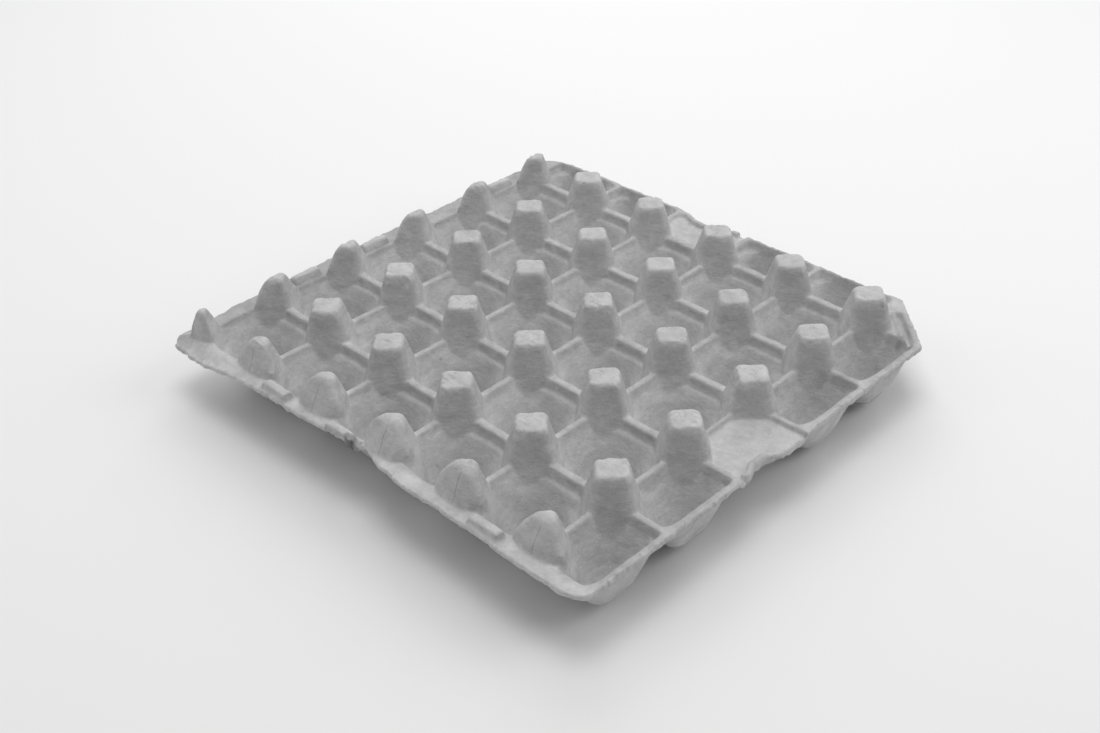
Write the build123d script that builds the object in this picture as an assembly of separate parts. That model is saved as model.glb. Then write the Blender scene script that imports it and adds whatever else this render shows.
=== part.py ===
from build123d import *
import os
from math import atan2, cos, degrees, radians, sin, sqrt, tan

# One-piece moulded-pulp egg tray. Every length is in millimetres, +Z is up, and the
# origin is under the middle of the tray, on the plane that its cup bottoms stand on.
# Places along the tray are given in pitches of the towers, from the two flanged sides.

PITCH = 50.0            # from tower to tower, both ways
TOWERS = 6              # towers along each side, those on the two flanged sides included
MIDDLE_X = 2.735        # middle of the tray, in pitches from the first rows of towers
MIDDLE_Y = 2.735
HEIGHT = 48.6           # tower tops above the pads under the cups
WALL = 2.2              # thickness of the pulp

RIDGE_TOP = HEIGHT - 16.75      # ridges, rim and flange
LEDGE = HEIGHT - 22.4           # foot of the steep upper wall of each cup
PLATE_TOP = RIDGE_TOP - 2.0     # the two thumb plates
BAR_TOP = HEIGHT - 12.0         # raised bars on the flange

TOWER_TOP_HALF = 7.4            # half the side of the square tower top
TOWER_DRAFT = 15.36             # degrees
TOWER_CORNER = 2.2              # radius of the upright corners
TOWER_BEVEL = 1.1               # bevel round the top
# how far in from the ridges' crossings the towers of the -Y edge stand, along the edge,
# and those of the -X edge
INSET_Y = [0.0, 2.5, 5.5, 6.5, 5.5, 4.0]
INSET_X = 1.0

CUP_HALF_TOP = 0.472 * PITCH    # half width of a cup between ridges, at their top
CUP_HALF_LEDGE = 0.440 * PITCH  # the same at the ledge, on the two sides that have one
CUP_HALF_PLAIN = 0.420 * PITCH  # and on the other two, which run straight on into the bowl
# inside of the round bowl below the ledge, as (radius, height)
BOWL = [(20.9, LEDGE), (8.5, 6.6), (4.0, WALL), (0.0, WALL)]
# and of the short cups beyond the last towers, which are rounded slots
SHORT_BOWL = [(13.4, LEDGE), (7.4, 6.6), (3.8, WALL), (0.0, WALL)]
SHORT_HALF_SLOT = 5.0
SHORT_C = 5.315                 # middle of the short cups, in pitches

RIM_X, RIM_Y = 5.705, 5.64      # outer edge of the two plain sides
RIM_X_IN, RIM_Y_IN = 5.637, 5.590
FLANGE_X, FLANGE_Y = -0.235, -0.17   # outer edge of the two flanged sides
CHAMFER = 10.69                 # x + y along the cut corner

os.makedirs("parts", exist_ok=True)


def at(x, y, z=0.0):
    """A place given in pitches, as a location in millimetres."""
    return Location(((x - MIDDLE_X) * PITCH, (y - MIDDLE_Y) * PITCH, z))


def pt(x, y):
    return ((x - MIDDLE_X) * PITCH, (y - MIDDLE_Y) * PITCH)


def prism(points, z0, z1):
    face = Plane.XY.offset(z0) * make_face(Polyline(*points, close=True))
    return extrude(face, amount=z1 - z0, dir=(0, 0, 1))


def stacked(layers):
    """A solid with flat faces through closed outlines, each (z, points), from the top down.
    The outlines have the same number of points, and a side that isn't flat is two triangles."""
    faces = []
    rings = [[(x, y, z) for x, y in points] for z, points in layers]
    faces.append(make_face(Polyline(*rings[0], close=True)).face())
    faces.append(make_face(Polyline(*rings[-1], close=True)).face())
    n = len(rings[0])
    for up, down in zip(rings, rings[1:]):
        for i in range(n):
            a, b, c, d = up[i], up[(i + 1) % n], down[(i + 1) % n], down[i]
            normal = Vector(*b).sub(Vector(*a)).cross(Vector(*d).sub(Vector(*a)))
            off = abs(Vector(*c).sub(Vector(*a)).dot(normal)) / max(normal.length, 1e-9)
            if off < 1e-6:
                faces.append(make_face(Polyline(a, b, c, d, close=True)).face())
            else:
                faces.append(make_face(Polyline(a, b, c, close=True)).face())
                faces.append(make_face(Polyline(a, c, d, close=True)).face())
    solid = Solid(Shell(faces))
    return Part() + (solid if solid.volume > 0 else -solid)


def rect(x0, y0, x1, y1):
    return [(x0, y0), (x1, y0), (x1, y1), (x0, y1)]


def block(x0, y0, x1, y1, z0, z1):
    """A box given in pitches across the tray and in millimetres up it."""
    return at((x0 + x1) / 2, (y0 + y1) / 2, (z0 + z1) / 2) * Box(
        (x1 - x0) * PITCH, (y1 - y0) * PITCH, z1 - z0)


def offset_profile(points, t):
    """A bowl's profile moved outward by the wall, ending on the plane that the tray stands on."""
    lines = []
    for (r0, z0), (r1, z1) in zip(points, points[1:]):
        a = atan2(z0 - z1, r0 - r1)
        nx, nz = sin(a), -cos(a)
        lines.append(((r0 + nx * t, z0 + nz * t), (cos(a), sin(a))))
    out = []
    (x, z), (dx, dz) = lines[0]
    s = (points[0][1] + 1.2 - z) / dz
    out.append((x + s * dx, points[0][1] + 1.2))
    for ((x0, z0), (ax, az)), ((x1, z1), (bx, bz)) in zip(lines, lines[1:]):
        det = ax * -bz + az * bx
        s = ((x1 - x0) * -bz + (z1 - z0) * bx) / det
        out.append((x0 + s * ax, z0 + s * az))
    out.append((0.0, out[-1][1]))
    return out


def raised(points, lift):
    """The profile carried on up past the ledge."""
    (r0, z0), (r1, z1) = points[0], points[1]
    k = (r0 - r1) / (z0 - z1)
    return [(r0 + lift * k, z0 + lift)] + points[1:]


def bowl(points, half_slot=0.0):
    """A round bowl, or a rounded slot whose two ends are half bowls half_slot apart from its middle."""
    top = points[0][1]
    pts = [(r, 0, z) for r, z in points] + [(0, 0, top)]
    face = make_face(Polyline(*pts, close=True))
    if not half_slot:
        return revolve(face, Axis.Z)
    end = revolve(face, Axis.Z, 180)
    if end.bounding_box().max.Y < 1.0:
        end = Rot(0, 0, 180) * end
    mirrored = [(-r, 0, z) for r, z in reversed(points[:-1])]
    whole = make_face(Polyline(*([(r, 0, z) for r, z in points[:-1]] + mirrored), close=True))
    middle = Pos(0, -half_slot, 0) * extrude(whole, amount=2 * half_slot, dir=(0, 1, 0))
    return (Pos(0, half_slot, 0) * end) + middle + (Pos(0, -half_slot, 0) * Rot(0, 0, 180) * end)


# ---- the outline of the sheet that everything hangs from, with its hand-trimmed waviness
chx, chy = CHAMFER - RIM_X, CHAMFER - RIM_Y
outline = [
    pt(-0.17, 0.06), pt(-0.125, -0.09), pt(0.0, FLANGE_Y), pt(0.7, FLANGE_Y), pt(1.2, -0.145),
    pt(1.9, -0.125), pt(2.66, -0.115), pt(2.75, -0.062), pt(2.90, -0.065), pt(3.15, -0.125),
    pt(3.6, -0.155), pt(4.8, FLANGE_Y + 0.005), pt(5.50, FLANGE_Y), pt(RIM_X - 0.06, -0.14), pt(RIM_X, -0.04),
    pt(RIM_X, 2.03), pt(RIM_X - 0.045, 2.14), pt(RIM_X - 0.085, 2.26), pt(RIM_X - 0.085, 2.42),
    pt(RIM_X - 0.045, 2.54), pt(RIM_X, 2.66),
    pt(RIM_X, chx), pt(chy, RIM_Y),
    pt(2.66, RIM_Y), pt(2.54, RIM_Y - 0.035), pt(2.42, RIM_Y - 0.07), pt(2.26, RIM_Y - 0.07),
    pt(2.14, RIM_Y - 0.035), pt(2.03, RIM_Y),
    pt(0.12, RIM_Y), pt(-0.02, RIM_Y - 0.05), pt(FLANGE_X + 0.05, 5.50), pt(FLANGE_X, 5.40),
    pt(FLANGE_X, 2.6), pt(-0.21, 1.4), pt(-0.175, 0.5),
]
sheet = prism(outline, RIDGE_TOP - WALL, RIDGE_TOP)
limit = prism(outline, -5.0, RIDGE_TOP)

# ---- one cup: a steep square upper part, and a round bowl below it, with a ledge between
# them on the sides towards +X and +Y
lean = (CUP_HALF_TOP - CUP_HALF_LEDGE) / (RIDGE_TOP - LEDGE)
grow = WALL * sqrt(1 + lean * lean)


def square(h, hy=None):
    hy = h if hy is None else hy
    return rect(-h, -hy, h, hy)


def cup_rect(ledge, plain):
    return rect(-plain, -plain, ledge, ledge)


slope = (CUP_HALF_TOP - CUP_HALF_PLAIN) / (RIDGE_TOP - LEDGE)
grow_plain = WALL * sqrt(1 + slope * slope)
cup_in = stacked([(RIDGE_TOP + 1.0, cup_rect(CUP_HALF_TOP + lean, CUP_HALF_TOP + slope)),
                  (LEDGE, cup_rect(CUP_HALF_LEDGE, CUP_HALF_PLAIN))])
cup_in = cup_in + bowl(raised(BOWL, 0.6))
cup_out = stacked([(RIDGE_TOP - 0.3, cup_rect(CUP_HALF_TOP + grow - 0.3 * lean, CUP_HALF_TOP + grow_plain - 0.3 * slope)),
                   (LEDGE - 0.9, cup_rect(CUP_HALF_LEDGE + grow - 0.9 * lean, CUP_HALF_PLAIN + grow_plain - 0.9 * slope))])
cup_out = cup_out + bowl(offset_profile(BOWL, WALL))


def short_cup(rim_in, ledge_side):
    """A cup between the last towers and the rim, seen from its middle with +X towards the rim.
    Its ledge is at one end, towards +Y or -Y."""
    xi = (5 + 0.028 - SHORT_C) * PITCH
    xo = (rim_in - SHORT_C) * PITCH
    ends = [CUP_HALF_PLAIN - 0.6, CUP_HALF_PLAIN - 0.6]
    ends[0 if ledge_side < 0 else 1] = CUP_HALF_LEDGE
    inner = stacked([
        (RIDGE_TOP + 1.0, rect(xi - lean, -CUP_HALF_TOP - lean, xo + 0.2, CUP_HALF_TOP + lean)),
        (LEDGE, rect(xi + 1.6, -ends[0], xo - 1.0, ends[1]))])
    outer = stacked([
        (RIDGE_TOP - 0.3, rect(xi - grow, -CUP_HALF_TOP - grow, xo + 0.15 + grow, CUP_HALF_TOP + grow)),
        (LEDGE - 0.9, rect(xi + 1.85 - grow, -ends[0] - grow, xo - 1.15 + grow, ends[1] + grow))])
    return (inner + bowl(raised(SHORT_BOWL, 0.6), SHORT_HALF_SLOT),
            outer + bowl(offset_profile(SHORT_BOWL, WALL), SHORT_HALF_SLOT))


# ---- one tower: a hollow square pyramid stump, its corners towards the ridges
k = tan(radians(TOWER_DRAFT))
side_wall = WALL / cos(radians(TOWER_DRAFT))


def diamond(half):
    s = half * sqrt(2)
    return [(s, 0), (0, s), (-s, 0), (0, -s)]


foot = LEDGE - 0.6
tower = stacked([(HEIGHT, diamond(TOWER_TOP_HALF)),
                 (foot, diamond(TOWER_TOP_HALF + (HEIGHT - foot) * k))])
slanted = [e for e in tower.edges() if abs(e.tangent_at(0.5).Z) > 0.5]
tower = fillet(slanted, TOWER_CORNER)
tower = chamfer(tower.faces().sort_by(Axis.Z)[-1].edges(), TOWER_BEVEL)
low = LEDGE - 5.0
hollow = stacked([(HEIGHT - WALL, diamond(TOWER_TOP_HALF + WALL * k - side_wall)),
                  (low, diamond(TOWER_TOP_HALF + (HEIGHT - low) * k - side_wall))])


# ---- an edge tower stands a little further in, and a bell-shaped outer face closes it
def bell(inset, grow, z_low):
    """What lies inside the outer face, seen from the ridges' crossing with +Y into the tray."""
    layers = []
    for z in (HEIGHT + 0.5, z_low):
        t = (HEIGHT - z) / (HEIGHT - RIDGE_TOP)           # 0 at the top, 1 at the flange
        mid = 2.6 + inset - (4.9 + inset) * t + grow
        layers.append((z, [(-24, mid + 12.5), (-15.8, mid + 5.6), (-7.5, mid + 0.7), (7.5, mid + 0.7), (15.8, mid + 5.6),
                           (24, mid + 12.5), (24, 44), (-24, 44)]))
    return stacked(layers)


above = Pos(0, 0, RIDGE_TOP - 0.8 + 20) * Box(90, 90, 40)
above_in = Pos(0, 0, RIDGE_TOP - WALL - 0.4 + 20) * Box(90, 90, 40)
half = Pos(0, 20, LEDGE) * Box(60, 40, 60)                # y from 0 to 40
half_in = Pos(0, 21.2, LEDGE) * Box(60, 40, 60)
quarter = Pos(20, 20, LEDGE) * Box(40, 40, 60)
quarter_in = Pos(21.2, 21.2, LEDGE) * Box(40, 40, 60)


def edge_tower(inset):
    """The outside of an edge tower above and below the flange, and its hollow the same way."""
    out, hole = Pos(0, inset, 0) * tower, Pos(0, inset, 0) * hollow
    return ([out & bell(inset, 0.0, RIDGE_TOP - 0.8), (out - above) & half],
            [hole & bell(inset, side_wall, RIDGE_TOP - WALL - 0.4), (hole - above_in) & half_in])


bell_out = bell(0.0, 0.0, RIDGE_TOP - 0.8)
bell_in = bell(0.0, side_wall, RIDGE_TOP - WALL - 0.4)
side_out = Rot(0, 0, -90) * bell_out
side_in = Rot(0, 0, -90) * bell_in
corner_tower = [tower & bell_out & side_out, (tower - above) & quarter]
corner_hollow = [hollow & bell_in & side_in, (hollow - above_in) & quarter_in]

# ---- put them in their places
cups_out, cups_in, ups, hollows, plates = [], [], [], [], []
for j in range(TOWERS - 1):
    for i in range(TOWERS - 1):
        cups_out.append(at(j + 0.5, i + 0.5) * cup_out)
        cups_in.append(at(j + 0.5, i + 0.5) * cup_in)
short_x, short_y = short_cup(RIM_X_IN, 1), short_cup(RIM_Y_IN, -1)
for i in range(TOWERS - 1):
    if i == 2:
        cups_in.append(block(5.028, 2.034, RIM_X + 0.05, 2.966, PLATE_TOP, RIDGE_TOP + 1))
        cups_in.append(block(2.034, 5.028, 2.966, RIM_Y + 0.05, PLATE_TOP, RIDGE_TOP + 1))
        plates.append(block(4.99, 2.0, RIM_X + 0.02, 3.0, PLATE_TOP - WALL, RIDGE_TOP - 0.3))
        plates.append(block(2.0, 4.99, 3.0, RIM_Y + 0.02, PLATE_TOP - WALL, RIDGE_TOP - 0.3))
    else:
        place = at(SHORT_C, i + 0.5)
        cups_in.append(place * short_x[0])
        cups_out.append(place * short_x[1])
        place = at(i + 0.5, SHORT_C) * Rot(0, 0, 90)
        cups_in.append(place * short_y[0])
        cups_out.append(place * short_y[1])
for j in range(TOWERS):
    for i in range(TOWERS):
        here = at(j, i)
        if i and j:
            ups.append(here * tower)
            hollows.append(here * hollow)
        elif i or j:
            turn = Rot(0, 0, -90) if i else Rot(0, 0, 0)
            out, hole = edge_tower(INSET_X if i else INSET_Y[j])
            ups += [here * turn * p for p in out]
            hollows += [here * turn * p for p in hole]
        else:
            ups += [here * p for p in corner_tower]
            hollows += [here * p for p in corner_hollow]

# ---- raised bars on the flange, between the towers
bar = stacked([(BAR_TOP, square(8.0, 1.3)), (BAR_TOP - 0.5, square(8.5, 1.8)), (RIDGE_TOP - 0.5, square(9.4, 2.6))])
for s in (1.5, 2.5, 4.5):
    ups.append(at(s, -0.06) * bar)
    ups.append(at(-0.06, s) * Rot(0, 0, 90) * bar)

# ---- a low rib across the cut corner
rib = stacked([(RIDGE_TOP + 1.5, square(12.0, 1.0)), (RIDGE_TOP - 0.5, square(13.2, 1.8))])
ups.append(at(5.235, 5.235) * Rot(0, 0, -45) * rib)

body = sheet.fuse(*[c & limit for c in cups_out], *[p & limit for p in plates])
body = body.cut(*cups_in)
body = body.fuse(*ups)
body = body.cut(*hollows)

solids = sorted(body.solids(), key=lambda s: -s.volume)
tray = solids[0]
print("solids", len(solids), [round(s.volume, 2) for s in solids[:5]])
box = tray.bounding_box()
print("box", box.min, box.max, "volume", round(tray.volume, 1), "valid", tray.is_valid)
tray.label = "egg_tray"
export_step(tray, "parts/egg_tray.step")
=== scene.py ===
"""Egg tray of grey moulded pulp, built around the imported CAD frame.

The visible piece is one closed shell. Its upper surface is worked out as a height over a
fine grid, its lower surface lies one wall thickness below it, and a torn-looking rim joins
the two. Lengths are in millimetres until the mesh is made, which is in metres.
"""
import math
import bpy
import numpy as np
from mathutils import Matrix, Vector


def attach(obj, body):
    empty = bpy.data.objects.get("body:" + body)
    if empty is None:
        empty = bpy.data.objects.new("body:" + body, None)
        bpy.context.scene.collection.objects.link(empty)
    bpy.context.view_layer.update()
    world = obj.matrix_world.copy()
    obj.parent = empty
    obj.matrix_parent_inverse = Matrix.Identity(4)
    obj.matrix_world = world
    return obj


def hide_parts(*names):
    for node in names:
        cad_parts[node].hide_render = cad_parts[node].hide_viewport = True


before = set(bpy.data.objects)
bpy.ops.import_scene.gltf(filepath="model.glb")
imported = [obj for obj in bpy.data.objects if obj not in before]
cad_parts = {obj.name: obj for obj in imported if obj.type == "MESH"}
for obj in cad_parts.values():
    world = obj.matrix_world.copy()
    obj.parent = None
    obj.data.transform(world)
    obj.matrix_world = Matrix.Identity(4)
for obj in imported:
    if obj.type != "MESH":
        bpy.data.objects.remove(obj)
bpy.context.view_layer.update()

# ------------------------------------------------------------------ the tray's own measures
P = 50.0                      # pitch of the towers
MX, MY = 2.735, 2.735         # middle of the tray, in pitches
H = 48.6                      # tower tops
ZR = H - 16.75                # ridges and flange
ZL = H - 22.75                # lip of each bowl
ZB = 2.2                      # inside of the bowls' bottom
WALL = 2.2
STEP = 0.5                    # grid
TOP_TRIS, LOW_TRIS = 138000, 46000


# ------------------------------------------------------------------ seeded noise
def lattice(i, j, k, seed):
    h = (i.astype(np.int64) * 374761393 + j.astype(np.int64) * 668265263 + k.astype(np.int64) * 2147483647 + seed * 1274126177) & 0xFFFFFFFF
    h = ((h ^ (h >> 13)) * 1274126177) & 0xFFFFFFFF
    h = ((h ^ (h >> 16)) * 2246822519) & 0xFFFFFFFF
    return ((h ^ (h >> 15)) & 0xFFFFFF).astype(np.float64) / 0xFFFFFF * 2 - 1


def noise(x, y, z, size, seed):
    """Smooth noise between -1 and 1 with features of about that size."""
    sx, sy, sz = size if isinstance(size, tuple) else (size,) * 3
    x, y, z = x / sx + 31.7, y / sy + 17.3, z / sz + 5.9
    i, j, k = np.floor(x), np.floor(y), np.floor(z)
    u, v, w = x - i, y - j, z - k
    u, v, w = (t * t * t * (t * (t * 6 - 15) + 10) for t in (u, v, w))
    out = 0
    for a in (0, 1):
        for b in (0, 1):
            for c in (0, 1):
                out = out + (u if a else 1 - u) * (v if b else 1 - v) * (w if c else 1 - w) * lattice(i + a, j + b, k + c, seed)
    return out


def smooth(t):
    t = np.clip(t, 0, 1)
    return t * t * (3 - 2 * t)


def soft_min(a, b, k):
    h = np.maximum(k - np.abs(a - b), 0) / k
    return np.minimum(a, b) - h * h * k / 4


def blur(z, sigma):
    n = int(3 * sigma / STEP + 1)
    g = np.exp(-0.5 * (np.arange(-n, n + 1) * STEP / sigma) ** 2)
    g /= g.sum()
    for axis in (0, 1):
        pad = [(0, 0), (0, 0)]
        pad[axis] = (n, n)
        q = np.pad(z, pad, mode="edge")
        z = sum(g[m] * (q[m:m + z.shape[0]] if axis == 0 else q[:, m:m + z.shape[1]]) for m in range(2 * n + 1))
    return z


def ball(z, r, up):
    """Grey-scale dilation (up) or erosion of a height grid by a ball."""
    n = int(r / STEP)
    q = np.pad(z, n, mode="edge")
    out = None
    for i in range(-n, n + 1):
        for j in range(-n, n + 1):
            d = r * r - (i * i + j * j) * STEP * STEP
            if d < 0:
                continue
            s = q[n + i:n + i + z.shape[0], n + j:n + j + z.shape[1]]
            s = s + math.sqrt(d) if up else s - math.sqrt(d)
            out = s if out is None else (np.maximum(out, s) if up else np.minimum(out, s))
    return out


# ------------------------------------------------------------------ the upper surface
def rounded(m, n, rc):
    """How far out a point is in a square with rounded corners."""
    m, n = np.abs(m), np.abs(n)
    t = ((m + n) - np.sqrt(np.maximum((m + n) ** 2 - 2 * (m * m + n * n - rc * rc), 0))) / 2
    return np.where(np.minimum(m, n) > t, t + rc, np.maximum(m, n))


def tower(x, y):
    """Height of a tower at x, y from its axis, its corners towards the ridges."""
    m, n = (x + y) / math.sqrt(2), (x - y) / math.sqrt(2)
    s0, s1 = rounded(m, n, 3.2), rounded(m, n, 6.0)
    d = np.clip((s0 - 7.4) / 0.2747 / 23.0, 0, 1)
    s = s0 * (1 - d) + s1 * d
    return np.where(s < 7.4, H, H - (s - 7.4) / 0.2747)


def outer_face(x, y, s, power=1.6):
    """Height of the outer face of an edge tower, +y into the tray, its axis s further in."""
    q = x * x
    return H - 16.75 * np.maximum((3.5 + s + 0.0095 * q + 0.00006 * q * q - y) / (5.5 + s), 0) ** power


def cavity(d, rho, ledged, power=1.42):
    """Height in a cup, d from the nearest ridge line and rho of the way out to the bowl's lip."""
    f = np.clip((rho - 0.16) / 0.84, 0, None)
    bowl = ZB + (ZL - ZB) * np.where(f < 1, f ** power, 1 + 1.15 * (f - 1))
    wall = ZL + (3.1 - d) * 4.6
    ledge = ZL + np.maximum(5.4 - d, 0) * 0.45
    with_ledge = np.maximum(np.where(rho < 1, bowl, ledge), wall)
    plain = np.maximum(bowl, ZR - (d - 2.0) * 4.2)
    return np.minimum(np.where(ledged, with_ledge, plain), ZR)


def height(X, Y):
    a, b = X / P + MX, Y / P + MY
    z = np.full(X.shape, ZR)
    u, v = a - np.floor(a) - 0.5, b - np.floor(b) - 0.5
    au, av = np.abs(u), np.abs(v)
    # the ridges run a little to one side of the towers' middles
    a1, b1 = a - 0.012, b + 0.028
    inside = (a1 >= 0) & (a1 < 5) & (b1 >= 0) & (b1 < 5)
    d = (0.5 - np.maximum(np.abs(a1 - np.floor(a1) - 0.5), np.abs(b1 - np.floor(b1) - 0.5))) * P
    ledged = ((v > 0) & (v > 0.80 * np.abs(u))) | ((u > 0) & (u > 0.80 * np.abs(v)))
    lip_y = 0.40 - 0.028 * smooth(v / 0.2)
    rho = ((au / 0.40) ** 2.6 + (av / lip_y) ** 2.6) ** (1 / 2.6)
    e = 2.6 + 1.3 * smooth((rho - 0.8) / 0.28)
    rho = ((au / 0.40) ** e + (av / lip_y) ** e) ** (1 / e)
    z = np.where(inside, cavity(d, rho, ledged), z)
    # the short cups and the two plates beyond the last towers
    for A, B, rim, side in ((a, b, 5.64, 1), (b, a, 5.58, -1)):
        V = B - np.floor(B) - 0.5
        aV = np.abs(V)
        B1 = B + (0.034 if side > 0 else -0.012)
        across_ridge = np.abs(B1 - np.floor(B1) - 0.5)
        place = (A >= 5) & (A < rim + 0.03) & (B >= 0) & (B < 5)
        mid = 5.42 if side > 0 else 5.31
        half = np.where(A < mid, mid - 5.06, rim - 0.035 - mid)
        dx = np.minimum(A - 5, (rim - A) + 0.028) * P
        dy = (0.5 - across_ridge) * P
        ledged = (V * side > 0) & (aV > 0.30)
        across = np.where(V * side > 0, 0.40, 0.445)
        e = np.where(A < mid, 2.5, 4.0)
        rho = ((np.abs(A - mid) / half) ** e + (aV / across) ** e) ** (1 / e)
        cup = cavity(np.minimum(dx, dy), rho, ledged, 1.25)
        cup = np.where(cup < 12, 4.2 + cup * 0.65, cup)
        if side < 0:
            bump = 5.2 ** 2 - ((A - 5.38) * P) ** 2 - ((V * side + 0.335) * P) ** 2
            cup = np.maximum(cup, np.where(bump > 0, H - 26.8 + np.sqrt(np.maximum(bump, 0)), -9.0))
        plate = np.where(np.minimum((A - 5.030) * 50, (0.5 - across_ridge) * 50 - 1.6) > 0, ZR - 2.1, ZR)
        index = np.floor(B)
        z = np.where(place & (index != 2), cup, z)
        z = np.where((A >= 5) & (index == 2) & (B >= 0), plate, z)
    # towers
    j, i = np.clip(np.round(a), 0, 5), np.clip(np.round(b), 0, 5)
    x, y = (a - j) * P, (b - i) * P
    on_y, on_x = i == 0, j == 0
    # the towers of the two flanged edges stand a little further in than the ridges' crossings
    in_y = np.where(on_y & (j > 0), np.array([0.0, 2.5, 5.5, 6.5, 5.5, 4.0])[j.astype(int)], 0.0)
    in_x = np.where(on_x & (i > 0), 1.0, 0.0)
    t = tower(x - in_x, y - in_y)
    fx, fy = outer_face(x, y, in_y), outer_face(y, x + np.where(i > 0, 0.2, 0.0), in_x, 1.4)
    up = np.where(on_y, soft_min(t, fx, 3.0), t)
    up = np.where(on_x, soft_min(up, fy, 2.2), up)
    low = np.where(on_y & (y < 0), -9.0, t)
    low = np.where(on_x & (x < 0), -9.0, low)
    shown = np.where(on_y | on_x, np.maximum(np.where(up > ZR, up, -9.0), np.minimum(low, ZR)), t)
    z = np.maximum(z, shown)
    # bars on the flange
    for s in (1.5, 2.5, 4.5):
        for A, B in ((a, b), (b, a)):
            w = (B + 0.06) * P
            up = np.minimum((9.6 - np.abs(A - s) * P) * 4.0, np.minimum((3.9 + w) * 1.9, (3.3 - w) * 4.6))
            z = np.maximum(z, np.where(up > -1, np.minimum(H - 12.0, ZR + up), -9.0))
    # rib and groove across the cut corner
    m, n = (a + b - 10.515) / math.sqrt(2) * P, (a - b) / math.sqrt(2) * P - 8.5
    d = np.minimum(1.7 - np.abs(m + 3.5), 12.5 - np.abs(n + 2.0))
    z = np.maximum(z, np.where(d > -1, np.minimum(ZR + 1.3, ZR + d * 1.6), -9.0))
    d = np.minimum(1.9 - np.abs(m), 15.0 - np.abs(n))
    z = np.where(d > 0, np.minimum(z, np.maximum(ZR - 3.0, ZR - d * 3.0)), z)
    return z


xs = np.arange(-151.0, 151.01, STEP)
ys = np.arange(-148.0, 148.01, STEP)
X, Y = np.meshgrid(xs, ys)
O = np.zeros_like(X)
wx = 0.30 * noise(X, Y, O, 38.0, 1) + 0.20 * noise(X, Y, O, 9.0, 2)
wy = 0.30 * noise(X, Y, O, 38.0, 3) + 0.20 * noise(X, Y, O, 9.0, 4)
Z = height(X + wx, Y + wy)
soft = ball(ball(Z, 2.0, False), 2.0, True)   # tower tops are worn round
sharp = (X < (0.4 - MX) * P) & (Y < (0.4 - MY) * P)
Z = np.where(sharp, Z, Z + (soft - Z) * smooth((Z - (ZR + 7.0)) / 4.0))
for part, within, r in ((np.s_[:70, :], Y[:70] < (0.42 - MY) * P, 4.0), (np.s_[:, :72], X[:, :72] < (0.30 - MX) * P, 2.5)):
    some = Z[part]                            # and those along the flanges rounder still
    dome = ball(ball(some, r, False), r, True)
    within = within & ~((X[part] < (0.4 - MX) * P) & (Y[part] < (0.4 - MY) * P))
    Z[part] = some + (dome - some) * np.where(within, smooth((some - (ZR + 3.0)) / 4.0), 0.0)
Z = ball(ball(Z, 0.7, False), 0.7, True)      # rounds what stands proud
Z = ball(ball(Z, 0.7, True), 0.7, False)      # and what is sunk
Z = blur(Z, 0.30)


# ------------------------------------------------------------------ the outline
def to_mm(points):
    return np.array([((x - MX) * P, (y - MY) * P) for x, y in points])


RX, RY, FX, FY = 5.705, 5.625, -0.235, -0.17
corners = to_mm([
    (-0.195, 0.05), (-0.18, -0.12), (-0.10, -0.195), (0.15, -0.208), (0.55, -0.190), (0.9, -0.165), (1.3, -0.148),
    (1.9, -0.130), (2.3, -0.105), (2.62, -0.105), (2.69, -0.075), (2.76, -0.022), (2.84, -0.022), (2.95, -0.065), (3.15, -0.118),
    (3.6, -0.155), (4.8, FY + 0.005), (5.50, FY), (RX - 0.06, -0.14), (RX, -0.04),
    (RX, 1.98), (RX - 0.02, 2.10), (RX - 0.065, 2.22), (RX - 0.078, 2.34), (RX - 0.055, 2.46),
    (RX, 2.58), (RX + 0.01, 2.72), (RX, 2.9), (RX, 10.675 - RX), (10.675 - RY, RY),
    (4.8, RY - 0.03), (3.2, RY - 0.01), (2.75, RY), (2.62, RY - 0.04), (2.5, RY - 0.10), (2.38, RY - 0.12), (2.24, RY - 0.09),
    (2.10, RY - 0.02), (1.98, RY), (0.12, RY), (-0.02, RY - 0.05), (FX + 0.05, 5.50),
    (FX, 5.40), (FX, 2.6), (-0.21, 1.4), (-0.19, 0.5)])
edge = []
for p, q in zip(corners, np.roll(corners, -1, axis=0)):
    k = max(1, int(np.hypot(*(q - p)) / 0.4))
    edge += [p + (q - p) * m / k for m in range(k)]
edge = np.array(edge)
g = np.exp(-0.5 * (np.arange(-9, 10) / 3.5) ** 2)
g /= g.sum()
edge = sum(w * np.roll(edge, m - 9, axis=0) for m, w in enumerate(g))
t = np.roll(edge, -1, axis=0) - np.roll(edge, 1, axis=0)
t /= np.linalg.norm(t, axis=1)[:, None]
outward = np.c_[t[:, 1], -t[:, 0]]
ragged = 0.42 * noise(edge[:, 0], edge[:, 1], 0 * edge[:, 0], 3.4, 11) + 0.45 * noise(edge[:, 0], edge[:, 1], 0 * edge[:, 0], 14.0, 12) + 0.22 * noise(edge[:, 0], edge[:, 1], 0 * edge[:, 0], 1.7, 13)
edge = edge + outward * (ragged - 0.35)[:, None]
LIMIT = np.array([148.4, 147.2])
edge = np.clip(edge, -LIMIT, LIMIT)


def inside_outline(x, y):
    """Even-odd test, row by row."""
    p, q = edge, np.roll(edge, -1, axis=0)
    out = np.zeros(x.shape, bool)
    for r in range(x.shape[0]):
        yy = y[r, 0]
        hit = (p[:, 1] > yy) != (q[:, 1] > yy)
        xc = p[hit, 0] + (yy - p[hit, 1]) / (q[hit, 1] - p[hit, 1]) * (q[hit, 0] - p[hit, 0])
        out[r] = (np.searchsorted(np.sort(xc), x[r]) % 2) == 1
    return out


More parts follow.
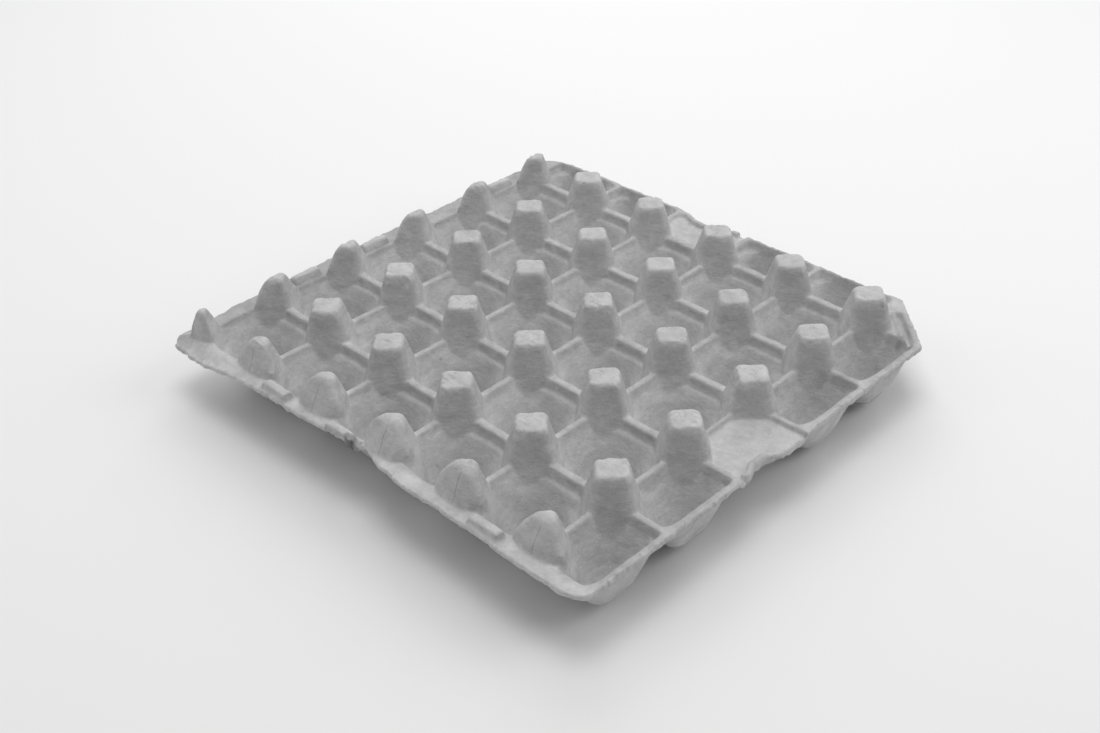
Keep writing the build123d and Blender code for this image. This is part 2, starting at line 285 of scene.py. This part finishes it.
def nearest_on_outline(pts):
    p, q = edge, np.roll(edge, -1, axis=0)
    s = q - p
    ll = (s ** 2).sum(1)
    best = np.empty_like(pts)
    for c in range(0, len(pts), 400):
        w = pts[c:c + 400, None, :] - p[None]
        f = np.clip((w * s[None]).sum(2) / ll[None], 0, 1)
        d = ((w - f[..., None] * s[None]) ** 2).sum(2)
        k = d.argmin(1)
        best[c:c + 400] = p[k] + f[np.arange(len(k)), k][:, None] * s[k]
    return best


cx, cy = np.meshgrid((xs[1:] + xs[:-1]) / 2, (ys[1:] + ys[:-1]) / 2)
cells = inside_outline(cx, cy)
# a corner that only touches another corner would tear the rim
for _ in range(3):
    c = np.pad(cells, 1)
    neighbours = c[:-2, 1:-1].astype(int) + c[2:, 1:-1] + c[1:-1, :-2] + c[1:-1, 2:]
    cells = np.where(neighbours <= 1, False, np.where(neighbours >= 3, True, cells))
    diag = (cells[:-1, :-1] & cells[1:, 1:] & ~cells[:-1, 1:] & ~cells[1:, :-1])
    cells[:-1, 1:] |= diag
    diag = (~cells[:-1, :-1] & ~cells[1:, 1:] & cells[:-1, 1:] & cells[1:, :-1])
    cells[:-1, :-1] |= diag
c = np.pad(cells, 1).astype(int)
touching = c[:-1, :-1] + c[1:, :-1] + c[:-1, 1:] + c[1:, 1:]
used = touching > 0
border = used & (touching < 4)
PX, PY = X.copy(), Y.copy()
moved = nearest_on_outline(np.c_[X[border], Y[border]])
PX[border], PY[border] = moved[:, 0], moved[:, 1]


def sample(grid, x, y):
    u, v = (x - xs[0]) / STEP, (y - ys[0]) / STEP
    i, j = np.clip(u.astype(int), 0, len(xs) - 2), np.clip(v.astype(int), 0, len(ys) - 2)
    u, v = u - i, v - j
    return (grid[j, i] * (1 - u) * (1 - v) + grid[j, i + 1] * u * (1 - v) + grid[j + 1, i] * (1 - u) * v + grid[j + 1, i + 1] * u * v)


LOW = np.maximum(ball(Z, WALL, False), 0.0)
LOW = np.maximum(blur(LOW, 0.4), 0.0)

# distance in from the outline, and the thicker, lumpy lip that hangs there
IN = np.where(border, 0.0, 99.0)
for _ in range(12):
    q = np.pad(IN, 1, mode="edge")
    near = np.minimum(np.minimum(q[:-2, 1:-1], q[2:, 1:-1]), np.minimum(q[1:-1, :-2], q[1:-1, 2:])) + STEP
    slant = np.minimum(np.minimum(q[:-2, :-2], q[2:, 2:]), np.minimum(q[2:, :-2], q[:-2, 2:])) + STEP * 1.414
    IN = np.minimum(IN, np.minimum(near, slant))
lip = smooth((3.2 - IN) / 2.2)
hang = 1.05 + 0.75 * noise(X, Y, O, 4.5, 71) + 0.45 * noise(X, Y, O, 1.9, 72)
thin = np.where(Y / P + MY < 0.0, 0.35, 1.0)
LOW = LOW - lip * np.maximum(hang, 0.0) * thin
Z = Z - 0.55 * thin * smooth((1.6 - IN) / 1.6) * (0.8 + 0.6 * noise(X, Y, O, 3.0, 73))

# the curb left along the plates' cut-out edge
plate_x = (X / P + MX > 5.3) & (np.abs(Y / P + MY - 2.45) < 0.42)
plate_y = (Y / P + MY > 5.3) & (np.abs(X / P + MX - 2.45) < 0.42)
strong = np.where(plate_x, smooth((2.62 - (Y / P + MY)) / 0.3), 1.0)
Z = np.where(plate_x | plate_y, np.maximum(Z, ZR - 2.1 + 1.9 * strong * smooth((3.2 - IN) / 0.8)), Z)

# polish and painted light: the proud edges of the tower tops lighter where handling has polished the pulp, crests at
# ridge level painted darker as shade, lower crests a little lighter; and how enclosed each place is
WEAR_AND_PAINTED_LIGHT = np.clip((Z - blur(Z, 1.3)) * 1.9, 0, 1) * np.where(Z > ZR + 3.0, 1.0, np.where(Z > ZR - 2.0, -5.5, 0.5))
# painted shade: a band just below the tower tops darker, where less bounced light reaches
WEAR_AND_PAINTED_LIGHT = WEAR_AND_PAINTED_LIGHT - 3.0 * smooth((H - 1.6 - Z) / 1.5) * smooth((Z - (H - 12.0)) / 7.0)
# painted light: surfaces facing +X, below ridge level, made lighter as if lit from that side
facing_x = -np.gradient(Z, STEP, axis=1)
WEAR_AND_PAINTED_LIGHT = WEAR_AND_PAINTED_LIGHT + 3.0 * np.clip(blur(facing_x, 1.5), 0, 1.2) * smooth((ZR + 1 - Z) / 3.0)
# painted shade: the steep walls facing -Y under the ridges darker
facing_y = np.gradient(Z, STEP, axis=0)
between = smooth((0.33 - np.abs(X / P + MX - np.floor(X / P + MX) - 0.5)) / 0.06)
under = smooth((Z - ZL - 0.4) / 0.8) * smooth((ZR - 0.4 - Z) / 0.8) * between
WEAR_AND_PAINTED_LIGHT = WEAR_AND_PAINTED_LIGHT - 3.0 * np.clip(facing_y, 0, 1.2) * under
# painted light and shade at flange level: the -X flange darker and the -Y flange lighter, by how the light falls on
# them
level = smooth((1.6 - np.abs(Z - ZR)) / 0.8)
WEAR_AND_PAINTED_LIGHT = WEAR_AND_PAINTED_LIGHT - 5.0 * level * (X / P + MX < 0.06) + 3.5 * level * (Y / P + MY < 0.0)
gap = smooth((0.09 - np.abs(X / P + MX - 2.68)) / 0.04) * smooth((2.0 - IN) / 1.0)
Z = Z - 2.6 * gap
LOW = LOW - 2.6 * gap
# painted shade: darker where the surface lies deep below its surroundings and below ridge level
coarse = blur(Z, 6.0)
# a near-black painted shadow along the rim at the slit by the notch
slit_painted_shadow = smooth((0.085 - np.abs(X / P + MX - 2.68)) / 0.03) * smooth((0.9 - IN) / 0.5)
SHADE = np.clip((coarse - Z) / 16.0, 0, 1) * np.clip((ZR + 2.0 - Z) / 16.0, 0, 1) + 6.0 * slit_painted_shadow

order = -np.ones(used.shape, int)
order[used] = np.arange(used.sum())
q = np.argwhere(cells)
quads = np.c_[order[q[:, 0], q[:, 1]], order[q[:, 0], q[:, 1] + 1], order[q[:, 0] + 1, q[:, 1] + 1], order[q[:, 0] + 1, q[:, 1]]]
UX, UY = PX[used], PY[used]
on_border = border[used]
top = np.c_[UX, UY, sample(Z, UX, UY)]
low = np.c_[UX, UY, sample(LOW, UX, UY)]


def normals(v, f):
    e = np.cross(v[f[:, 2]] - v[f[:, 0]], v[f[:, 3]] - v[f[:, 1]])
    n = np.zeros_like(v)
    for c in range(4):
        np.add.at(n, f[:, c], e)
    return n / np.maximum(np.linalg.norm(n, axis=1)[:, None], 1e-12)


def roughen(v, n, seed, strength):
    x, y, z = v.T
    d = 0.20 * noise(x, y, z, 7.5, seed) + 0.13 * noise(x, y, z, 3.4, seed + 1) + 0.06 * noise(x, y, z, 1.8, seed + 2)
    return v + n * (strength * d)[:, None]


top_n, low_n = normals(top, quads), normals(low, quads)
top_r = roughen(top, top_n, 21, 1.0)
x, y, z = top.T
fold = 1 - np.abs(noise(x, y, z, (4.2, 3.0, 5.0), 81)) * 2.2
some = smooth((noise(x, y, O[used] * 0, 11.0, 82) + 0.35) / 0.6)
top_r += top_n * (smooth((z - (H - 4.5)) / 3.0) * some * 0.42 * (fold - 0.55) * (z > H - 4.5))[:, None]
low_r = roughen(low, low_n, 41, 1.2)
top_r[on_border, :2] = top[on_border, :2]
low_r[on_border, :2] = low[on_border, :2]
low_r[:, 2] = np.maximum(low_r[:, 2], 0.0)
top_r[:, 2] = np.minimum(top_r[:, 2], H - 0.02)
top, low = top_r, low_r


def settle(v):
    """The flange is bent down a little towards the pointed tower's corner."""
    a, b = v[:, 0] / P + MX, v[:, 1] / P + MY
    along = smooth((1.35 - a) / 1.2)
    drop = 4.2 * smooth((-b + 0.0) / 0.19) * along
    along = smooth((0.9 - b) / 0.9)
    drop = np.maximum(drop, 2.0 * smooth((-a + 0.0) / 0.2) * along)
    v = v.copy()
    v[:, 2] -= drop
    return v


top, low = settle(top), settle(low)


# ------------------------------------------------------------------ meshes
def make_mesh(name, verts, faces):
    me = bpy.data.meshes.new(name)
    n = faces.shape[1]
    me.vertices.add(len(verts))
    me.vertices.foreach_set("co", (verts / 1000.0).astype(np.float32).ravel())
    me.loops.add(faces.size)
    me.loops.foreach_set("vertex_index", faces.astype(np.int32).ravel())
    me.polygons.add(len(faces))
    me.polygons.foreach_set("loop_start", np.arange(0, faces.size, n, dtype=np.int32))
    me.update(calc_edges=True)
    return me


def split(f, v):
    """Quads to triangles across the flatter diagonal."""
    a = np.abs(v[f[:, 0], 2] - v[f[:, 2], 2])
    b = np.abs(v[f[:, 1], 2] - v[f[:, 3], 2])
    one = a <= b
    t1 = np.where(one[:, None], f[:, [0, 1, 2]], f[:, [0, 1, 3]])
    t2 = np.where(one[:, None], f[:, [0, 2, 3]], f[:, [1, 2, 3]])
    return np.r_[t1, t2]


def thinned(name, verts, quads, target):
    """Fewer triangles where the surface is flatter, the border's vertices kept."""
    tris = split(quads, verts)
    o = bpy.data.objects.new(name, make_mesh(name, verts, tris))
    bpy.context.scene.collection.objects.link(o)
    g = o.vertex_groups.new(name="free")
    g.add(np.flatnonzero(~on_border).tolist(), 1.0, "REPLACE")
    m = o.modifiers.new("thin", "DECIMATE")
    m.decimate_type = "COLLAPSE"
    m.ratio = target / len(tris)
    m.vertex_group = "free"
    m.vertex_group_factor = 1.0
    m.use_collapse_triangulate = True
    dg = bpy.context.evaluated_depsgraph_get()
    me = bpy.data.meshes.new_from_object(o.evaluated_get(dg))
    v = np.empty(len(me.vertices) * 3, np.float32)
    me.vertices.foreach_get("co", v)
    f = np.empty(len(me.loops), np.int32)
    me.loops.foreach_get("vertex_index", f)
    bpy.data.objects.remove(o)
    bpy.data.meshes.remove(me)
    return v.reshape(-1, 3).astype(float) * 1000.0, f.reshape(-1, 3)


top_v, top_f = thinned("top", top, quads, TOP_TRIS)
low_v, low_f = thinned("low", low, quads, LOW_TRIS)


def rim_loop(v, f):
    """The open border of a sheet, in order, counter-clockwise seen from above."""
    e = np.r_[f[:, [0, 1]], f[:, [1, 2]], f[:, [2, 0]]]
    key = e[:, 0].astype(np.int64) * len(v) + e[:, 1]
    back = e[:, 1].astype(np.int64) * len(v) + e[:, 0]
    open_ = e[~np.isin(key, back)]
    nxt = dict(open_.tolist())
    start = open_[0, 0]
    loop = [start]
    while nxt[loop[-1]] != start:
        loop.append(nxt[loop[-1]])
    return np.array(loop), len(open_)


top_loop, n_top = rim_loop(top_v, top_f)
low_loop, n_low = rim_loop(low_v, low_f)
print("top", len(top_f), "low", len(low_f), "rims", len(top_loop), n_top, len(low_loop), n_low)


def joined(top_v, top_f, top_loop, low_v, low_f, low_loop):
    a = top_v[top_loop]
    b = low_v[low_loop]
    k = int(((b[:, :2] - a[0, :2]) ** 2).sum(1).argmin())
    low_loop = np.roll(low_loop, -k)
    b = low_v[low_loop]
    if len(a) != len(b):
        raise RuntimeError("the two rims differ: %d and %d" % (len(a), len(b)))
    n = len(a)
    t = np.roll(a, -1, axis=0) - np.roll(a, 1, axis=0)
    t = t[:, :2] / np.maximum(np.linalg.norm(t[:, :2], axis=1)[:, None], 1e-9)
    out = np.c_[t[:, 1], -t[:, 0]]
    rings = []
    for f, push, seed in ((0.30, 0.35, 61), (0.70, 0.30, 62)):
        m = a * (1 - f) + b * f
        d = push + 0.28 * noise(m[:, 0], m[:, 1], m[:, 2], 2.2, seed)
        m[:, :2] += out * d[:, None]
        m[:, 2] += 0.2 * noise(m[:, 0], m[:, 1], m[:, 2], 1.6, seed + 5)
        rings.append(m)
    base = len(top_v) + len(low_v)
    v = np.r_[top_v, low_v, rings[0], rings[1]]
    v[base:, :2] = np.clip(v[base:, :2], -np.array([148.6, 147.4]), np.array([148.6, 147.4]))
    ids = [top_loop, base + np.arange(n), base + n + np.arange(n), len(top_v) + low_loop]
    f = [top_f, low_f[:, ::-1] + len(top_v)]
    for up, down in zip(ids, ids[1:]):
        u2, d2 = np.roll(up, -1), np.roll(down, -1)
        f.append(np.c_[up, down, u2])
        f.append(np.c_[u2, down, d2])
    return v, np.r_[tuple(f)]


verts, faces = joined(top_v, top_f, top_loop, low_v, low_f, low_loop)
mesh = make_mesh("egg_tray_pulp", verts, faces)
mesh.validate()
tray = bpy.data.objects.new("egg_tray_pulp", mesh)
bpy.context.scene.collection.objects.link(tray)
mesh.polygons.foreach_set("use_smooth", np.ones(len(mesh.polygons), bool))
final = np.empty(len(mesh.vertices) * 3, np.float32)
mesh.vertices.foreach_get("co", final)
final = final.reshape(-1, 3).astype(float) * 1000.0
upper = np.zeros(len(final))
upper[:len(top_v)] = 1.0
RIM = smooth((3.0 - IN) / 2.4) * (0.4 + 0.6 * (thin > 0.5))
upper[len(top_v):] = np.where(final[len(top_v):, 2] > ZR - 6.0, 1.0, 0.0)
for name, grid in (("wear_and_painted_light", WEAR_AND_PAINTED_LIGHT), ("shade", SHADE), ("rim", RIM)):
    values = sample(grid, np.clip(final[:, 0], xs[0], xs[-1]), np.clip(final[:, 1], ys[0], ys[-1])) * upper
    mesh.attributes.new(name, "FLOAT", "POINT").data.foreach_set("value", values.astype(np.float32))
print("tray", len(mesh.vertices), "vertices", len(mesh.polygons), "triangles")


# ------------------------------------------------------------------ grey pulp
def pulp_material():
    m = bpy.data.materials.new("grey_pulp")
    m.use_nodes = True
    nt = m.node_tree
    nt.nodes.clear()
    new, link = nt.nodes.new, nt.links.new
    out = new("ShaderNodeOutputMaterial")
    bsdf = new("ShaderNodeBsdfPrincipled")
    link(bsdf.outputs[0], out.inputs[0])
    bsdf.inputs["Roughness"].default_value = 0.92
    bsdf.inputs["Specular IOR Level"].default_value = 0.25
    co = new("ShaderNodeTexCoord")

    def noise_node(scale, detail, rough, stretch=(1, 1, 1)):
        n = new("ShaderNodeTexNoise")
        n.inputs["Scale"].default_value = scale
        n.inputs["Detail"].default_value = detail
        n.inputs["Roughness"].default_value = rough
        if stretch != (1, 1, 1):
            mp = new("ShaderNodeMapping")
            mp.inputs["Scale"].default_value = stretch
            link(co.outputs["Object"], mp.inputs[0])
            link(mp.outputs[0], n.inputs["Vector"])
        else:
            link(co.outputs["Object"], n.inputs["Vector"])
        return n.outputs["Fac"]

    def ramp(src, stops):
        r = new("ShaderNodeValToRGB")
        e = r.color_ramp.elements
        e[0].position, e[0].color = stops[0][0], stops[0][1]
        e[1].position, e[1].color = stops[-1][0], stops[-1][1]
        for p, c in stops[1:-1]:
            s = e.new(p)
            s.color = c
        link(src, r.inputs[0])
        return r.outputs[0]

    def grey(v, tint=(0, 0, 0)):
        return (v + tint[0], v + tint[1], v + tint[2], 1)

    def math_node(op, a, b):
        n = new("ShaderNodeMath")
        n.operation = op
        for k, s in enumerate((a, b)):
            if isinstance(s, (int, float)):
                n.inputs[k].default_value = s
            else:
                link(s, n.inputs[k])
        return n.outputs[0]

    def mix(kind, fac, a, b):
        n = new("ShaderNodeMix")
        n.data_type = "RGBA"
        n.blend_type = kind
        if isinstance(fac, (int, float)):
            n.inputs[0].default_value = fac
        else:
            link(fac, n.inputs[0])
        for s, socket in ((a, n.inputs[6]), (b, n.inputs[7])):
            if isinstance(s, tuple):
                socket.default_value = s
            else:
                link(s, socket)
        return n.outputs[2]

    broad = ramp(noise_node(22, 3, 0.6), [(0.3, grey(0.47)), (0.7, grey(0.53))])
    fibre = ramp(noise_node(330, 4, 0.65, (1, 1, 2.4)), [(0.28, grey(0.40)), (0.5, grey(0.5)), (0.72, grey(0.60))])
    colour = mix("OVERLAY", 0.45, broad, fibre)
    cloud = ramp(noise_node(120, 3, 0.6, (1, 1, 1.6)), [(0.3, grey(0.43)), (0.5, grey(0.5)), (0.7, grey(0.57))])
    colour = mix("OVERLAY", 0.75, colour, cloud)
    speck = ramp(noise_node(900, 2, 0.5), [(0.66, grey(1.0)), (0.74, grey(0.72))])
    colour = mix("MULTIPLY", 0.8, colour, speck)

    # painted shadow of a hairline crease down the outer face of each tower of the -Y edge, and of cracks on the tops
    xyz = new("ShaderNodeSeparateXYZ")
    link(co.outputs["Object"], xyz.inputs[0])
    px, py, pz = xyz.outputs
    wander = math_node("MULTIPLY", math_node("SUBTRACT", noise_node(60, 2, 0.5), 0.5), 0.0035)
    across = math_node("ADD", math_node("ADD", px, wander), (MX * P - 1.2) / 1000 + P / 2000)
    across = math_node("ABSOLUTE", math_node("SUBTRACT", math_node("MODULO", across, P / 1000), P / 2000), 0)
    line = math_node("LESS_THAN", across, 0.00030)
    for s_, limit, what in ((py, (0.20 - MY) * P / 1000, "LESS_THAN"), (pz, (ZR + 0.6) / 1000, "GREATER_THAN"), (pz, (H - 2.8) / 1000, "LESS_THAN")):
        line = math_node("MULTIPLY", line, math_node(what, s_, limit))
    crease_painted_shadow = math_node("MULTIPLY", line, 0.22)
    wavy = math_node("ABSOLUTE", math_node("SUBTRACT", noise_node(70, 4, 0.55), 0.5), 0)
    crack_painted_shadow = math_node("MULTIPLY", math_node("LESS_THAN", wavy, 0.006), math_node("GREATER_THAN", pz, (H - 1.5) / 1000))
    crack_painted_shadow = math_node("MULTIPLY", crack_painted_shadow, math_node("GREATER_THAN", noise_node(45, 1, 0.5), 0.50))
    crack_painted_shadow = math_node("MULTIPLY", crack_painted_shadow, 0.24)
    painted_crease_and_crack_shadows = math_node("ADD", crease_painted_shadow, crack_painted_shadow)

    def attribute(name):
        n = new("ShaderNodeAttribute")
        n.attribute_name = name
        return n.outputs["Fac"]

    # polish on the tower tops plus the painted light and shade of the walls, ridges and flanges
    wear_and_painted_light_gain = math_node("MULTIPLY", attribute("wear_and_painted_light"), 0.03)
    # painted shade in the hollows and the painted slit shadow
    painted_shade_and_pits = math_node("MULTIPLY", attribute("shade"), -0.10)
    # the torn edge holds loose fibre and small dark pits
    pitted = math_node("MULTIPLY", math_node("LESS_THAN", noise_node(420, 5, 0.8), 0.42), attribute("rim"))
    painted_shade_and_pits = math_node("SUBTRACT", painted_shade_and_pits, math_node("MULTIPLY", pitted, 0.20))
    gain = math_node("SUBTRACT", math_node("ADD", math_node("ADD", wear_and_painted_light_gain, painted_shade_and_pits), 1.0), painted_crease_and_crack_shadows)
    scaled = new("ShaderNodeVectorMath")
    scaled.operation = "SCALE"
    link(colour, scaled.inputs[0])
    link(gain, scaled.inputs["Scale"])
    link(scaled.outputs[0], bsdf.inputs["Base Color"])

    # pulp relief: felted lumps, short fibres and pits
    lumps = noise_node(260, 5, 0.62, (1, 1, 1.8))
    fine = noise_node(950, 3, 0.6)
    vor = new("ShaderNodeTexVoronoi")
    vor.feature = "F1"
    vor.inputs["Scale"].default_value = 420
    link(co.outputs["Object"], vor.inputs["Vector"])
    pits = ramp(vor.outputs["Distance"], [(0.0, grey(0.0)), (0.22, grey(1.0))])
    hgt = math_node("ADD", math_node("MULTIPLY", lumps, 1.0), math_node("MULTIPLY", fine, 0.35))
    bump = new("ShaderNodeBump")
    bump.inputs["Strength"].default_value = 0.55
    bump.inputs["Distance"].default_value = 0.0009
    link(hgt, bump.inputs["Height"])
    link(bump.outputs[0], bsdf.inputs["Normal"])
    return m


tray.data.materials.append(pulp_material())
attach(tray, "root")
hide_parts("egg_tray")

# ------------------------------------------------------------------ floor, light, camera
fm = bpy.data.meshes.new("floor")
fm.from_pydata([(-6, -6, 0), (6, -6, 0), (6, 6, 0), (-6, 6, 0)], [], [(0, 1, 2, 3)])
floor = bpy.data.objects.new("floor", fm)
bpy.context.scene.collection.objects.link(floor)
mat = bpy.data.materials.new("floor")
mat.use_nodes = True
b = mat.node_tree.nodes["Principled BSDF"]
b.inputs["Base Color"].default_value = (0.86, 0.86, 0.86, 1)
b.inputs["Roughness"].default_value = 0.9
b.inputs["Specular IOR Level"].default_value = 0.1
fm.materials.append(mat)

world = bpy.data.worlds.new("studio")
bpy.context.scene.world = world
world.use_nodes = True
bg = world.node_tree.nodes["Background"]
bg.inputs[0].default_value = (1, 1, 1, 1)
bg.inputs[1].default_value = 0.314


def area(name, place, target, size, power):
    l = bpy.data.lights.new(name, "AREA")
    l.shape = "SQUARE"
    l.size = size
    l.energy = power
    o = bpy.data.objects.new(name, l)
    o.location = place
    o.rotation_euler = (Vector(target) - Vector(place)).to_track_quat("-Z", "Y").to_euler()
    bpy.context.scene.collection.objects.link(o)


area("top", (-0.1, 0.1, 1.5), (0, 0, 0), 1.0, 9.3)
area("back", (-0.92, 0.92, 0.9), (0, 0, 0), 1.0, 8.1)
area("right", (0.92, 0.92, 0.9), (0, 0, 0), 1.0, 6.5)
area("left", (-0.92, -0.92, 0.9), (0, 0, 0), 1.0, 2.5)

cam = bpy.data.cameras.new("camera")
cam.lens = 45.14
cam.sensor_fit = "HORIZONTAL"
cam.sensor_width = 36.0
cam.clip_start = 0.01
cam.clip_end = 50
camera = bpy.data.objects.new("camera", cam)
look = Vector((-0.58220, 0.58677, -0.56280)).normalized()
up = Vector((-0.38181, 0.41382, 0.82642))
right = look.cross(up).normalized()
up = right.cross(look).normalized()
m = Matrix((right, up, -look)).transposed().to_4x4()
m.translation = Vector((0.42673, -0.43999, 0.42363))
camera.matrix_world = m
bpy.context.scene.collection.objects.link(camera)
bpy.context.scene.camera = camera
bpy.context.scene.view_settings.view_transform = "Standard"
